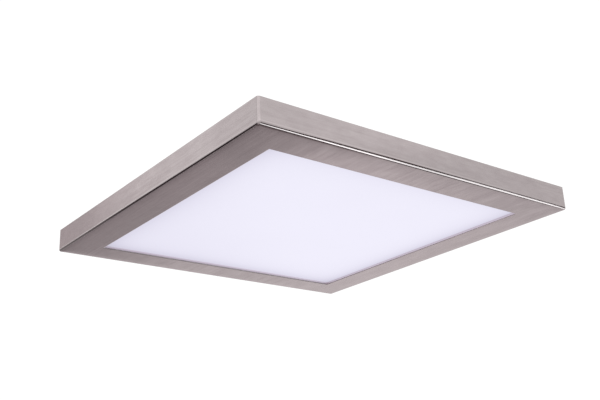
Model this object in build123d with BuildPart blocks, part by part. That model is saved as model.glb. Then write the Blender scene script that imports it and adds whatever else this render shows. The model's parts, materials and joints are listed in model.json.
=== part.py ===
"""Square surface-mounted LED downlight: snap-on lamp and its ceiling bracket.

Millimetres, +Z up. z = 0 is the ceiling; the origin is the middle of the ceiling bracket,
above the middle of the lamp. The lamp hangs below it, its bezel faces down.
"""

import os

from build123d import *

os.makedirs("parts", exist_ok=True)

# ---------------------------------------------------------------- driving dimensions
side = 300.0  # outer side of the square frame
height = 19.2  # ceiling to the bezel's face
bezel = 28.5  # width of the bezel seen from below
sheet = 1.2  # frame sheet thickness
corner_r = 1.8  # upright corners, outside
fold_r = 1.5  # fold between skirt and bezel, outside
rim_r = 0.6  # rolled rim of the window
recess = 2.2  # bezel face to diffuser face

diffuser_t = 1.5
guide_t = 3.0
reflector_t = 0.3
foam_t = 1.0
plate_t = 0.8

rail_in = 129.3  # rail web, face towards the light guide
rail_out = 147.4  # rail leg ends
rail_web = 1.5
rail_leg = 1.2
stud_line = 139.0  # studs from the centre lines
stud_r = 1.45
led_count = 48
led_pitch = 5.1

bracket_l = 196.0  # ceiling bracket
bracket_w = 32.0
bracket_t = 1.5
box_screw_near = 69.85  # 2 3/4 in box screws
box_screw_far = 88.9  # 3 1/2 in box screws
slot_w = 4.6
anchor_span = 150.0  # ceiling anchor holes
anchor_d = 5.2

driver_l = 190.0
driver_w = 32.0
driver_y = -70.0
terminal_y = 34.0
pole_pitch = 8.0
button_travel = 1.0

wire_r = 0.8  # LED wires
mains_r = 1.0  # line, neutral and earth wires
wire_z = -8.5  # height of the wires' middle line over the back plate
grommet_x = 124.3
grommet_y = -136.0

# heights, from the bezel's face up
face_z = -height
bezel_back = face_z + sheet
diffuser_z = face_z + recess
guide_z = diffuser_z + diffuser_t
reflector_z = guide_z + guide_t
foam_z = reflector_z + reflector_t
plate_under = foam_z + foam_t
plate_top = plate_under + plate_t
window = side - 2 * bezel

MIN3 = (Align.CENTER, Align.CENTER, Align.MIN)
MAX3 = (Align.CENTER, Align.CENTER, Align.MAX)

stud_xy = [(sx * stud_line, sy * 90.0) for sx in (-1, 1) for sy in (-1, 1)]
stud_xy += [(sx * 70.0, sy * stud_line) for sx in (-1, 1) for sy in (-1, 1)]


def pan_screw(head_r, head_h, shank_r, shank_l):
    """A cross-recess pan head screw, seat at z = 0, head up, shank down."""
    with BuildPart() as screw:
        Cylinder(head_r, head_h, align=MIN3)
        fillet(screw.faces().sort_by(Axis.Z)[-1].edges(), radius=head_h * 0.55)
        Cylinder(shank_r, shank_l, align=MAX3)
        with Locations((0, 0, head_h)):
            Box(head_r * 1.1, head_r * 0.24, head_h * 0.9, align=(Align.CENTER, Align.CENTER, Align.CENTER), mode=Mode.SUBTRACT)
            Box(head_r * 0.24, head_r * 1.1, head_h * 0.9, align=(Align.CENTER, Align.CENTER, Align.CENTER), mode=Mode.SUBTRACT)
    return screw.part


def rivet(head_r, head_h, shank_r, shank_l, tail_r, tail_h):
    """A rivet with its head up, seat at z = 0, shank down through shank_l, tail below."""
    with BuildPart() as pin:
        Cylinder(head_r, head_h, align=MIN3)
        fillet(pin.faces().sort_by(Axis.Z)[-1].edges(), radius=head_h * 0.8)
        Cylinder(shank_r, shank_l, align=MAX3)
        if tail_h:
            with Locations((0, 0, -shank_l)):
                Cylinder(tail_r, tail_h, align=MAX3)
    return pin.part


# ---------------------------------------------------------------- trim frame, one pressed sheet
with BuildPart() as trim_frame:
    with BuildSketch(Plane.XY.offset(face_z)):
        RectangleRounded(side, side, corner_r)
    extrude(amount=height)
    fillet(trim_frame.faces().sort_by(Axis.Z)[0].edges(), radius=fold_r)
    with BuildSketch(Plane.XY.offset(bezel_back)):
        RectangleRounded(side - 2 * sheet, side - 2 * sheet, corner_r - sheet)
    extrude(amount=-bezel_back, mode=Mode.SUBTRACT)
    fillet(trim_frame.edges().filter_by_position(Axis.Z, bezel_back - 0.01, bezel_back + 0.01), radius=0.4)
    with BuildSketch(Plane.XY.offset(bezel_back)):
        Rectangle(window + 2 * sheet, window + 2 * sheet)
    extrude(amount=diffuser_z - bezel_back)
    with BuildSketch(Plane.XY.offset(face_z)):
        Rectangle(window, window)
    extrude(amount=recess, mode=Mode.SUBTRACT)
    rim = trim_frame.edges().filter_by_position(Axis.Z, face_z - 0.01, face_z + 0.01)
    fillet(
        rim.filter_by_position(Axis.X, -window / 2 - 0.01, window / 2 + 0.01).filter_by_position(
            Axis.Y, -window / 2 - 0.01, window / 2 + 0.01
        ),
        radius=rim_r,
    )
trim_frame.part.label = "trim_frame"
export_step(trim_frame.part, "parts/trim_frame.step")

# studs welded to the back of the bezel
with BuildPart() as weld_studs:
    with Locations(*[(x, y, bezel_back) for x, y in stud_xy]):
        Cylinder(2.2, 0.7, align=MIN3)
        Cylinder(stud_r, 11.2, align=MIN3)
weld_studs.part.label = "weld_studs"
export_step(weld_studs.part, "parts/weld_studs.step")

# ---------------------------------------------------------------- optical stack
with BuildPart() as lens_gasket:
    with BuildSketch(Plane.XY.offset(bezel_back)):
        Rectangle(254.0, 254.0)
        Rectangle(window + 2 * sheet + 1.0, window + 2 * sheet + 1.0, mode=Mode.SUBTRACT)
    extrude(amount=diffuser_z - bezel_back)
lens_gasket.part.label = "lens_gasket"
export_step(lens_gasket.part, "parts/lens_gasket.step")

with BuildPart() as diffuser:
    with BuildSketch(Plane.XY.offset(diffuser_z)):
        Rectangle(254.0, 257.0)
    extrude(amount=diffuser_t)
diffuser.part.label = "diffuser"
export_step(diffuser.part, "parts/diffuser.step")

with BuildPart() as light_guide:
    with BuildSketch(Plane.XY.offset(guide_z)):
        Rectangle(254.6, 257.0)
    extrude(amount=guide_t)
light_guide.part.label = "light_guide"
export_step(light_guide.part, "parts/light_guide.step")

with BuildPart() as reflector_sheet:
    with BuildSketch(Plane.XY.offset(reflector_z)):
        Rectangle(254.0, 256.6)
    extrude(amount=reflector_t)
reflector_sheet.part.label = "reflector_sheet"
export_step(reflector_sheet.part, "parts/reflector_sheet.step")

with BuildPart() as foam_pad:
    with BuildSketch(Plane.XY.offset(foam_z)):
        RectangleRounded(252.0, 255.0, 4.0)
    extrude(amount=foam_t)
foam_pad.part.label = "foam_pad"
export_step(foam_pad.part, "parts/foam_pad.step")

# ---------------------------------------------------------------- rails round the stack
rail_mid_x = (rail_in + rail_out) / 2
rail_mid_z = (bezel_back + plate_under) / 2
hollow_mid_x = (rail_in + rail_web + rail_out) / 2

with BuildPart() as led_rail_right:
    with BuildSketch(Plane.XZ):
        with Locations((rail_mid_x, rail_mid_z)):
            Rectangle(rail_out - rail_in, plate_under - bezel_back)
        with Locations((hollow_mid_x, rail_mid_z)):
            Rectangle(rail_out - rail_in - rail_web, plate_under - bezel_back - 2 * rail_leg, mode=Mode.SUBTRACT)
    extrude(amount=147.0, both=True)
    with Locations((stud_line, 90, bezel_back), (stud_line, -90, bezel_back)):
        Cylinder(2.6, rail_leg, align=MIN3, mode=Mode.SUBTRACT)
        Cylinder(1.7, plate_under - bezel_back, align=MIN3, mode=Mode.SUBTRACT)
led_rail_right.part.label = "led_rail_right"
export_step(led_rail_right.part, "parts/led_rail_right.step")

with BuildPart() as led_rail_left:
    with BuildSketch(Plane.XZ):
        with Locations((-rail_mid_x, rail_mid_z)):
            Rectangle(rail_out - rail_in, plate_under - bezel_back)
        with Locations((-hollow_mid_x, rail_mid_z)):
            Rectangle(rail_out - rail_in - rail_web, plate_under - bezel_back - 2 * rail_leg, mode=Mode.SUBTRACT)
    extrude(amount=147.0, both=True)
    with Locations((-stud_line, 90, bezel_back), (-stud_line, -90, bezel_back)):
        Cylinder(2.6, rail_leg, align=MIN3, mode=Mode.SUBTRACT)
        Cylinder(1.7, plate_under - bezel_back, align=MIN3, mode=Mode.SUBTRACT)
led_rail_left.part.label = "led_rail_left"
export_step(led_rail_left.part, "parts/led_rail_left.step")

with BuildPart() as spacer_rail_rear:
    with BuildSketch(Plane.YZ):
        with Locations((rail_mid_x, rail_mid_z)):
            Rectangle(rail_out - rail_in, plate_under - bezel_back)
        with Locations((hollow_mid_x, rail_mid_z)):
            Rectangle(rail_out - rail_in - rail_web, plate_under - bezel_back - 2 * rail_leg, mode=Mode.SUBTRACT)
    extrude(amount=118.0, both=True)
    with Locations((70, stud_line, bezel_back), (-70, stud_line, bezel_back)):
        Cylinder(2.6, rail_leg, align=MIN3, mode=Mode.SUBTRACT)
        Cylinder(1.7, plate_under - bezel_back, align=MIN3, mode=Mode.SUBTRACT)
spacer_rail_rear.part.label = "spacer_rail_rear"
export_step(spacer_rail_rear.part, "parts/spacer_rail_rear.step")

with BuildPart() as spacer_rail_front:
    with BuildSketch(Plane.YZ):
        with Locations((-rail_mid_x, rail_mid_z)):
            Rectangle(rail_out - rail_in, plate_under - bezel_back)
        with Locations((-hollow_mid_x, rail_mid_z)):
            Rectangle(rail_out - rail_in - rail_web, plate_under - bezel_back - 2 * rail_leg, mode=Mode.SUBTRACT)
    extrude(amount=118.0, both=True)
    with Locations((70, -stud_line, bezel_back), (-70, -stud_line, bezel_back)):
        Cylinder(2.6, rail_leg, align=MIN3, mode=Mode.SUBTRACT)
        Cylinder(1.7, plate_under - bezel_back, align=MIN3, mode=Mode.SUBTRACT)
spacer_rail_front.part.label = "spacer_rail_front"
export_step(spacer_rail_front.part, "parts/spacer_rail_front.step")

# ---------------------------------------------------------------- LED boards
board_t = 1.0
board_h = 5.2
chip_t = 0.7
chip_mid_z = guide_z + guide_t / 2
chip_y = [(i - (led_count - 1) / 2) * led_pitch for i in range(led_count)]

with BuildPart() as led_board_right:
    with Locations((rail_in - board_t / 2, -9.5, chip_mid_z)):
        Box(board_t, 267.0, board_h)
led_board_right.part.label = "led_board_right"
export_step(led_board_right.part, "parts/led_board_right.step")

with BuildPart() as led_board_left:
    with Locations((-rail_in + board_t / 2, -9.5, chip_mid_z)):
        Box(board_t, 267.0, board_h)
led_board_left.part.label = "led_board_left"
export_step(led_board_left.part, "parts/led_board_left.step")

with BuildPart() as led_chips_right:
    with Locations(*[(rail_in - board_t - chip_t / 2, y, chip_mid_z) for y in chip_y]):
        Box(chip_t, 3.5, 2.8)
led_chips_right.part.label = "led_chips_right"
export_step(led_chips_right.part, "parts/led_chips_right.step")

with BuildPart() as led_chips_left:
    with Locations(*[(-rail_in + board_t + chip_t / 2, y, chip_mid_z) for y in chip_y]):
        Box(chip_t, 3.5, 2.8)
led_chips_left.part.label = "led_chips_left"
export_step(led_chips_left.part, "parts/led_chips_left.step")

# two-way connectors on the boards' ends, wire holes upwards
conn_top = -12.6
with BuildPart() as board_connectors:
    with Locations(*[(s * (rail_in - board_t - 3.0), grommet_y, conn_top) for s in (-1, 1)]):
        Box(6.0, 9.0, 4.2, align=MAX3)
    with Locations(*[(s * grommet_x + d, grommet_y, conn_top) for s in (-1, 1) for d in (-1.25, 1.25)]):
        Cylinder(1.0, 2.4, align=MAX3, mode=Mode.SUBTRACT)
board_connectors.part.label = "board_connectors"
export_step(board_connectors.part, "parts/board_connectors.step")

# ---------------------------------------------------------------- back plate and its nuts
bead_h = 1.0
beads = [
    (0, 76, 200.0, 0),
    (0, 112, 200.0, 0),
    (0, -108, 160.0, 0),
    (-122, 0, 110.0, 90),
    (122, 0, 110.0, 90),
]
driver_screw_xy = [(-99.5, driver_y - 12.0), (99.5, driver_y - 12.0)]
terminal_screw_xy = [(-16.5, terminal_y), (16.5, terminal_y)]
catch_rivet_xy = [(sx * 108.0, sy * 7.0) for sx in (-1, 1) for sy in (-1, 1)]
earth_xy = (-50.0, 34.0)

with BuildPart() as back_plate:
    with BuildSketch(Plane.XY.offset(plate_under)):
        RectangleRounded(295.0, 295.0, 5.0)
    extrude(amount=plate_t)
    with BuildSketch(Plane.XY.offset(plate_top)):
        for x, y, length, turn in beads:
            with Locations((x, y)):
                SlotOverall(length, 7.0, rotation=turn)
    extrude(amount=bead_h)
    fillet(back_plate.edges().group_by(Axis.Z)[-1], radius=0.7)
    with BuildSketch(Plane.XY.offset(plate_under)):
        for x, y, length, turn in beads:
            with Locations((x, y)):
                SlotOverall(length - 1.8, 5.2, rotation=turn)
    extrude(amount=bead_h, mode=Mode.SUBTRACT)
    with Locations(*[(x, y, plate_under) for x, y in stud_xy]):
        Cylinder(1.7, plate_t, align=MIN3, mode=Mode.SUBTRACT)
    with Locations(*[(x, y, plate_under) for x, y in driver_screw_xy + terminal_screw_xy + [earth_xy]]):
        Cylinder(1.5, plate_t, align=MIN3, mode=Mode.SUBTRACT)
    with Locations(*[(x, y, plate_under) for x, y in catch_rivet_xy]):
        Cylinder(1.3, plate_t, align=MIN3, mode=Mode.SUBTRACT)
    with Locations(*[(s * grommet_x, grommet_y, plate_under) for s in (-1, 1)]):
        Cylinder(2.8, plate_t, align=MIN3, mode=Mode.SUBTRACT)
back_plate.part.label = "back_plate"
export_step(back_plate.part, "parts/back_plate.step")

with BuildPart() as one_nut:
    Cylinder(3.6, 0.8, align=MIN3)
    with BuildSketch(Plane.XY):
        RegularPolygon(2.75, 6, major_radius=False)
    extrude(amount=3.0)
    chamfer(one_nut.faces().sort_by(Axis.Z)[-1].edges(), length=0.25)
    Cylinder(1.5, 3.0, align=MIN3, mode=Mode.SUBTRACT)

with BuildPart() as flange_nuts:
    with Locations(*[(x, y, plate_top) for x, y in stud_xy]):
        add(one_nut.part)
flange_nuts.part.label = "flange_nuts"
export_step(flange_nuts.part, "parts/flange_nuts.step")

# ---------------------------------------------------------------- driver
split_z = -5.9  # joint between driver base and cover
driver_top = -1.6
case_t = 1.2
driver_in_y = driver_y + driver_w / 2  # wall towards the terminal
led_wire_y = driver_y + 6.0

with BuildPart() as driver_base:
    with Locations((0, driver_y, plate_top)):
        Box(driver_l, driver_w, split_z - plate_top, align=MIN3)
    fillet(driver_base.edges().filter_by(Axis.Z), radius=2.0)
    with Locations((0, driver_y, plate_top + 1.0)):
        Box(driver_l - 2 * case_t, driver_w - 2 * case_t, 10.0, align=MIN3, mode=Mode.SUBTRACT)
    with Locations(*[(x * 1.0 + (-2.5 if x > 0 else 2.5), y, plate_top) for x, y in driver_screw_xy]):
        Box(10.0, 8.0, 2.0, align=MIN3)
    with Locations(*[(x, y, plate_top) for x, y in driver_screw_xy]):
        Cylinder(4.0, 2.0, align=MIN3)
        Cylinder(1.7, 2.0, align=MIN3, mode=Mode.SUBTRACT)
    # the inside stays clear of the ear roots
    with Locations((0, driver_y, plate_top + 1.0)):
        Box(driver_l - 2 * case_t, driver_w - 2 * case_t, 10.0, align=MIN3, mode=Mode.SUBTRACT)
    # supports under the circuit board
    with Locations(*[(x, driver_y + y, plate_top + 1.0) for x in (-70, 0, 70) for y in (-12.5, 12.5)]):
        Box(5.0, 2.0, 0.4, align=MIN3)
    # wire exits at both ends and the wire entry in the long wall
    with Locations(*[(s * driver_l / 2, led_wire_y, -7.55) for s in (-1, 1)]):
        Box(8.0, 5.2, 3.0, mode=Mode.SUBTRACT)
    with Locations((0, driver_in_y, -7.45)):
        Box(6.4, 8.0, 3.1, mode=Mode.SUBTRACT)
driver_base.part.label = "driver_base"
export_step(driver_base.part, "parts/driver_base.step")

with BuildPart() as driver_cover:
    with Locations((0, driver_y, split_z)):
        Box(driver_l, driver_w, driver_top - split_z, align=MIN3)
    fillet(driver_cover.edges().filter_by(Axis.Z), radius=2.0)
    fillet(driver_cover.faces().sort_by(Axis.Z)[-1].edges(), radius=0.8)
    with Locations((0, driver_y, split_z)):
        Box(driver_l - 2 * case_t, driver_w - 2 * case_t, driver_top - split_z - case_t, align=MIN3, mode=Mode.SUBTRACT)
    # snap tongues inside the base's long walls
    with Locations(*[(x, driver_y + s * (driver_w / 2 - case_t - 0.65), split_z - 1.6) for x in (-60, 60) for s in (-1, 1)]):
        Box(8.0, 1.0, 3.0, align=MIN3)
    with Locations(*[(x, driver_y + s * (driver_w / 2 - case_t - 0.5), split_z) for x in (-60, 60) for s in (-1, 1)]):
        Box(8.0, 1.3, 1.4, align=MIN3)
    # cooling slots
    with BuildSketch(Plane.XY.offset(driver_top)):
        with Locations(*[(x, driver_y) for x in (-78, -72, -66, -60, -54, 54, 60, 66, 72, 78)]):
            SlotOverall(16.0, 2.0, rotation=90)
    extrude(amount=-case_t, mode=Mode.SUBTRACT)
driver_cover.part.label = "driver_cover"
export_step(driver_cover.part, "parts/driver_cover.step")

board_top = plate_top + 1.0 + 0.4 + 1.0
with BuildPart() as driver_board:
    with Locations((0, driver_y, board_top)):
        Box(176.0, 28.6, 1.0, align=MAX3)
driver_board.part.label = "driver_board"
export_step(driver_board.part, "parts/driver_board.step")

with BuildPart() as driver_transformer:
    with Locations((12, driver_y, board_top)):
        Box(20.0, 16.0, 4.8, align=MIN3)
    with Locations((12, driver_y, board_top + 0.8)):
        Box(12.0, 22.0, 3.2, align=MIN3)
driver_transformer.part.label = "driver_transformer"
export_step(driver_transformer.part, "parts/driver_transformer.step")

with BuildPart() as driver_capacitors:
    with Locations(*[(x, driver_y + y, board_top + 2.45) for x, y in ((-22, 6), (-22, -6), (44, -6), (58, -6))]):
        Cylinder(2.4, 11.0, rotation=(0, 90, 0))
driver_capacitors.part.label = "driver_capacitors"
export_step(driver_capacitors.part, "parts/driver_capacitors.step")

with BuildPart() as driver_film_capacitor:
    with Locations((-48, driver_y - 5, board_top)):
        Box(13.0, 5.0, 4.6, align=MIN3)
    fillet(driver_film_capacitor.edges().filter_by(Axis.Z), radius=0.6)
driver_film_capacitor.part.label = "driver_film_capacitor"
export_step(driver_film_capacitor.part, "parts/driver_film_capacitor.step")

with BuildPart() as driver_choke:
    with Locations((-66, driver_y - 3, board_top + 2.0)):
        Torus(5.0, 2.0)
driver_choke.part.label = "driver_choke"
export_step(driver_choke.part, "parts/driver_choke.step")

with BuildPart() as driver_semiconductors:
    with Locations((-38, driver_y + 6, board_top)):
        Box(8.0, 6.0, 2.4, align=MIN3)
    with Locations((-6, driver_y + 7, board_top)):
        Box(6.0, 5.0, 1.8, align=MIN3)
    with Locations((-6, driver_y - 6, board_top)):
        Box(5.0, 4.0, 1.6, align=MIN3)
    with Locations((34, driver_y + 6, board_top)):
        Box(7.0, 5.0, 2.2, align=MIN3)
driver_semiconductors.part.label = "driver_semiconductors"
export_step(driver_semiconductors.part, "parts/driver_semiconductors.step")

with BuildPart() as driver_fuse:
    with Locations((-50, driver_y + 6, board_top + 1.65)):
        Cylinder(1.6, 9.0, rotation=(0, 90, 0))
driver_fuse.part.label = "driver_fuse"
export_step(driver_fuse.part, "parts/driver_fuse.step")

ear_screw = pan_screw(2.75, 1.9, 1.45, 2.8)
with BuildPart() as driver_screws:
    with Locations(*[(x, y, plate_top + 2.0) for x, y in driver_screw_xy]):
        add(ear_screw)
driver_screws.part.label = "driver_screws"
export_step(driver_screws.part, "parts/driver_screws.step")

# ---------------------------------------------------------------- supply terminal
pole_x = {"earth": -pole_pitch, "neutral": 0.0, "line": pole_pitch}
block_w = 27.0
block_d = 20.0
block_top = -2.0
entry_z = -8.0
button_y = terminal_y + 3.0

with BuildPart() as terminal_body:
    with Locations((0, terminal_y, plate_top)):
        Box(block_w, block_d, block_top - plate_top, align=MIN3)
    chamfer(terminal_body.faces().sort_by(Axis.Z)[-1].edges().filter_by(Axis.X), length=1.0)
    with Locations((0, terminal_y, plate_top)):
        Box(block_w + 14.0, 7.0, 2.0, align=MIN3)
    fillet(terminal_body.edges().filter_by(Axis.Z).group_by(Axis.X)[0], radius=2.5)
    fillet(terminal_body.edges().filter_by(Axis.Z).group_by(Axis.X)[-1], radius=2.5)
    with Locations(*[(x, y, plate_top) for x, y in terminal_screw_xy]):
        Cylinder(1.7, 2.0, align=MIN3, mode=Mode.SUBTRACT)
    # square wire entries with a funnel, from the rear face
    for x in pole_x.values():
        with BuildSketch(Plane.XZ.offset(-(terminal_y + block_d / 2))):
            with Locations((x, entry_z)):
                Rectangle(3.2, 3.2)
        extrude(amount=15.0, mode=Mode.SUBTRACT)
        with BuildSketch(Plane.XZ.offset(-(terminal_y + block_d / 2))):
            with Locations((x, entry_z)):
                Rectangle(4.4, 4.4)
        extrude(amount=1.5, taper=20, mode=Mode.SUBTRACT)
    # button wells
    with Locations(*[(x, button_y, block_top) for x in pole_x.values()]):
        Box(4.4, 6.4, 3.6, align=MAX3, mode=Mode.SUBTRACT)
    # barriers' grooves between the poles
    with Locations(*[(x, terminal_y, block_top) for x in (-4.0, 4.0)]):
        Box(0.8, block_d, 1.6, align=MAX3, mode=Mode.SUBTRACT)
    # wire holes at the front face
    with Locations(*[(x, terminal_y - block_d / 2, wire_z) for x in pole_x.values()]):
        Cylinder(1.3, 8.0, rotation=(90, 0, 0), mode=Mode.SUBTRACT)
terminal_body.part.label = "terminal_body"
export_step(terminal_body.part, "parts/terminal_body.step")

with BuildPart() as terminal_contacts:
    with Locations(*[(x, terminal_y - 2.0, entry_z) for x in pole_x.values()]):
        Box(2.9, 5.0, 2.9)
        Box(2.1, 5.0, 2.1, mode=Mode.SUBTRACT)
terminal_contacts.part.label = "terminal_contacts"
export_step(terminal_contacts.part, "parts/terminal_contacts.step")

with BuildPart() as release_button_earth:
    with Locations((pole_x["earth"], button_y, block_top + button_travel)):
        Box(3.8, 5.8, 3.3, align=MAX3)
    fillet(release_button_earth.faces().sort_by(Axis.Z)[-1].edges(), radius=0.5)
release_button_earth.part.label = "release_button_earth"
export_step(release_button_earth.part, "parts/release_button_earth.step")

with BuildPart() as release_button_neutral:
    with Locations((pole_x["neutral"], button_y, block_top + button_travel)):
        Box(3.8, 5.8, 3.3, align=MAX3)
    fillet(release_button_neutral.faces().sort_by(Axis.Z)[-1].edges(), radius=0.5)
release_button_neutral.part.label = "release_button_neutral"
export_step(release_button_neutral.part, "parts/release_button_neutral.step")

with BuildPart() as release_button_line:
    with Locations((pole_x["line"], button_y, block_top + button_travel)):
        Box(3.8, 5.8, 3.3, align=MAX3)
    fillet(release_button_line.faces().sort_by(Axis.Z)[-1].edges(), radius=0.5)
release_button_line.part.label = "release_button_line"
export_step(release_button_line.part, "parts/release_button_line.step")

with BuildPart() as terminal_screws:
    with Locations(*[(x, y, plate_top + 2.0) for x, y in terminal_screw_xy]):
        add(ear_screw)
terminal_screws.part.label = "terminal_screws"
export_step(terminal_screws.part, "parts/terminal_screws.step")

# ---------------------------------------------------------------- wires held by the lamp
print("wire bend radii, mm:")


def led_wire_route(s, lane):
    """From the driver's board to a board connector; s is the side, lane the wire of the pair."""
    x_run = s * grommet_x + lane * 1.25 * s
    y_run = led_wire_y + lane * 1.25
    turn = 18.0 + lane * 1.25
    pts = [
        (s * 82.0, y_run, board_top + wire_r + 0.05),
        (s * 90.0, y_run, board_top + wire_r + 0.05),
        (s * 100.0, y_run, wire_z),
        (x_run, y_run, wire_z),
        (x_run, grommet_y, wire_z),
        (x_run, grommet_y, conn_top - 1.6),
    ]
    return pts, [20.0, 20.0, turn, 3.0]


with BuildPart() as led_wires_positive:
    for s in (-1, 1):
        route, radii = led_wire_route(s, 1)
        with BuildLine() as path:
            FilletPolyline(*route, radius=radii)
        with BuildSketch(Plane(origin=path.line @ 0, z_dir=path.line % 0)):
            Circle(wire_r)
        sweep(path=path.line)
        print("  led wire +", radii, "length", round(sum(e.length for e in path.edges()), 1))
led_wires_positive.part.label = "led_wires_positive"
export_step(led_wires_positive.part, "parts/led_wires_positive.step")

with BuildPart() as led_wires_negative:
    for s in (-1, 1):
        route, radii = led_wire_route(s, -1)
        with BuildLine() as path:
            FilletPolyline(*route, radius=radii)
        with BuildSketch(Plane(origin=path.line @ 0, z_dir=path.line % 0)):
            Circle(wire_r)
        sweep(path=path.line)
        print("  led wire -", radii, "length", round(sum(e.length for e in path.edges()), 1))
led_wires_negative.part.label = "led_wires_negative"
export_step(led_wires_negative.part, "parts/led_wires_negative.step")

front_face_y = terminal_y - block_d / 2
mains_end_z = board_top + mains_r + 0.05

with BuildPart() as line_wire:
    with BuildLine() as path:
        FilletPolyline(
            (pole_x["line"], front_face_y + 3.0, wire_z),
            (pole_x["line"], front_face_y - 14.0, wire_z),
            (1.6, front_face_y - 40.0, wire_z),
            (1.6, driver_in_y + 11.0, wire_z),
            (1.6, driver_in_y + 1.0, mains_end_z),
            (1.6, driver_in_y - 8.0, mains_end_z),
            radius=[24.0, 24.0, 12.0, 12.0],
        )
    with BuildSketch(Plane(origin=path.line @ 0, z_dir=path.line % 0)):
        Circle(mains_r)
    sweep(path=path.line)
    print("  line wire 24, 24, 12, 12 length", round(sum(e.length for e in path.edges()), 1))
line_wire.part.label = "line_wire"
export_step(line_wire.part, "parts/line_wire.step")

with BuildPart() as neutral_wire:
    with BuildLine() as path:
        FilletPolyline(
            (pole_x["neutral"], front_face_y + 3.0, wire_z),
            (pole_x["neutral"], front_face_y - 14.0, wire_z),
            (-1.6, front_face_y - 40.0, wire_z),
            (-1.6, driver_in_y + 11.0, wire_z),
            (-1.6, driver_in_y + 1.0, mains_end_z),
            (-1.6, driver_in_y - 8.0, mains_end_z),
            radius=[60.0, 60.0, 12.0, 12.0],
        )
    with BuildSketch(Plane(origin=path.line @ 0, z_dir=path.line % 0)):
        Circle(mains_r)
    sweep(path=path.line)
    print("  neutral wire 60, 60, 12, 12 length", round(sum(e.length for e in path.edges()), 1))
neutral_wire.part.label = "neutral_wire"
export_step(neutral_wire.part, "parts/neutral_wire.step")

# the earth wire turns under the bracket and comes back to its ring terminal
ring_start = (earth_xy[0] + 9.0, earth_xy[1] - 9.0)
with BuildPart() as earth_wire:
    with BuildLine() as path:
        FilletPolyline(
            (pole_x["earth"], front_face_y + 3.0, wire_z),
            (pole_x["earth"], front_face_y - 18.0, wire_z),
            (ring_start[0] + 19.0, ring_start[1] - 19.0, wire_z),
            (ring_start[0], ring_start[1], wire_z),
            radius=[8.5, 12.0],
        )
    with BuildSketch(Plane(origin=path.line @ 0, z_dir=path.line % 0)):
        Circle(mains_r)
    sweep(path=path.line)
    print("  earth wire 8.5, 12 length", round(sum(e.length for e in path.edges()), 1))
earth_wire.part.label = "earth_wire"
export_step(earth_wire.part, "parts/earth_wire.step")

# crimped ring terminal: ring flat on the plate, sleeve round the wire's end
ring_t = 0.8
ring_plane = Plane(origin=(earth_xy[0], earth_xy[1], plate_top), x_dir=(1, -1, 0), z_dir=(0, 0, 1))
with BuildPart() as earth_ring:
    with BuildSketch(ring_plane):
        Circle(3.6)
        with Locations((5.0, 0)):
            Rectangle(5.4, 3.4)
        Circle(1.7, mode=Mode.SUBTRACT)
    extrude(amount=ring_t)
    with BuildSketch(Plane(origin=(earth_xy[0] + 6.6 * 0.70711, earth_xy[1] - 6.6 * 0.70711, wire_z), x_dir=(0, 0, 1), z_dir=(1, -1, 0))):
        Circle(mains_r + 0.75)
    extrude(amount=8.0)
    with BuildSketch(Plane(origin=(earth_xy[0] + 7.8 * 0.70711, earth_xy[1] - 7.8 * 0.70711, wire_z), x_dir=(0, 0, 1), z_dir=(1, -1, 0))):
        Circle(mains_r + 0.05)
    extrude(amount=9.0, mode=Mode.SUBTRACT)
earth_ring.part.label = "earth_ring"
export_step(earth_ring.part, "parts/earth_ring.step")

earth_pin = pan_screw(3.0, 2.2, 1.45, ring_t + plate_t)
with BuildPart() as earth_screw:
    with Locations((earth_xy[0], earth_xy[1], plate_top + ring_t)):
        add(earth_pin)
earth_screw.part.label = "earth_screw"
export_step(earth_screw.part, "parts/earth_screw.step")

with BuildPart() as one_grommet:
    with BuildSketch(Plane.XZ):
        with Locations((2.55, plate_under + plate_t / 2)):
            Rectangle(0.5, plate_t)
        with Locations((3.0, plate_top + 0.4), (3.0, plate_under - 0.4)):
            Rectangle(1.4, 0.8)
    revolve(axis=Axis.Z)

with BuildPart() as wire_grommets:
    with Locations(*[(s * grommet_x, grommet_y, 0) for s in (-1, 1)]):
        add(one_grommet.part)
wire_grommets.part.label = "wire_grommets"
export_step(wire_grommets.part, "parts/wire_grommets.step")

# adhesive wire clips: a foot, two posts and a bridge over the pair of wires
with BuildPart() as one_clip:
    with BuildSketch(Plane.XZ):
        with Locations((0, plate_top)):
            Rectangle(9.0, 3.8, align=(Align.CENTER, Align.MIN))
        with Locations((-1.25, wire_z), (1.25, wire_z)):
            Circle(wire_r + 0.05, mode=Mode.SUBTRACT)
        with Locations((0, wire_z)):
            Rectangle(2.5, 0.9, mode=Mode.SUBTRACT)
    extrude(amount=3.5, both=True)
    fillet(one_clip.edges().filter_by(Axis.Y).group_by(Axis.Z)[-1], radius=1.0)

with BuildPart() as one_mains_clip:
    with BuildSketch(Plane.XZ):
        with Locations((0, plate_top)):
            Rectangle(10.4, 4.2, align=(Align.CENTER, Align.MIN))
        with Locations((-1.6, wire_z), (1.6, wire_z)):
            Circle(mains_r + 0.05, mode=Mode.SUBTRACT)
        with Locations((0, wire_z)):
            Rectangle(3.2, 1.2, mode=Mode.SUBTRACT)
    extrude(amount=4.0, both=True)
    fillet(one_mains_clip.edges().filter_by(Axis.Y).group_by(Axis.Z)[-1], radius=1.0)

with BuildPart() as wire_clips:
    with Locations(*[(s * grommet_x, y, 0) for s in (-1, 1) for y in (-92.0, -120.0)]):
        add(one_clip.part)
    with Locations((0, -30.0, 0)):
        add(one_mains_clip.part)
wire_clips.part.label = "wire_clips"
export_step(wire_clips.part, "parts/wire_clips.step")

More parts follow.
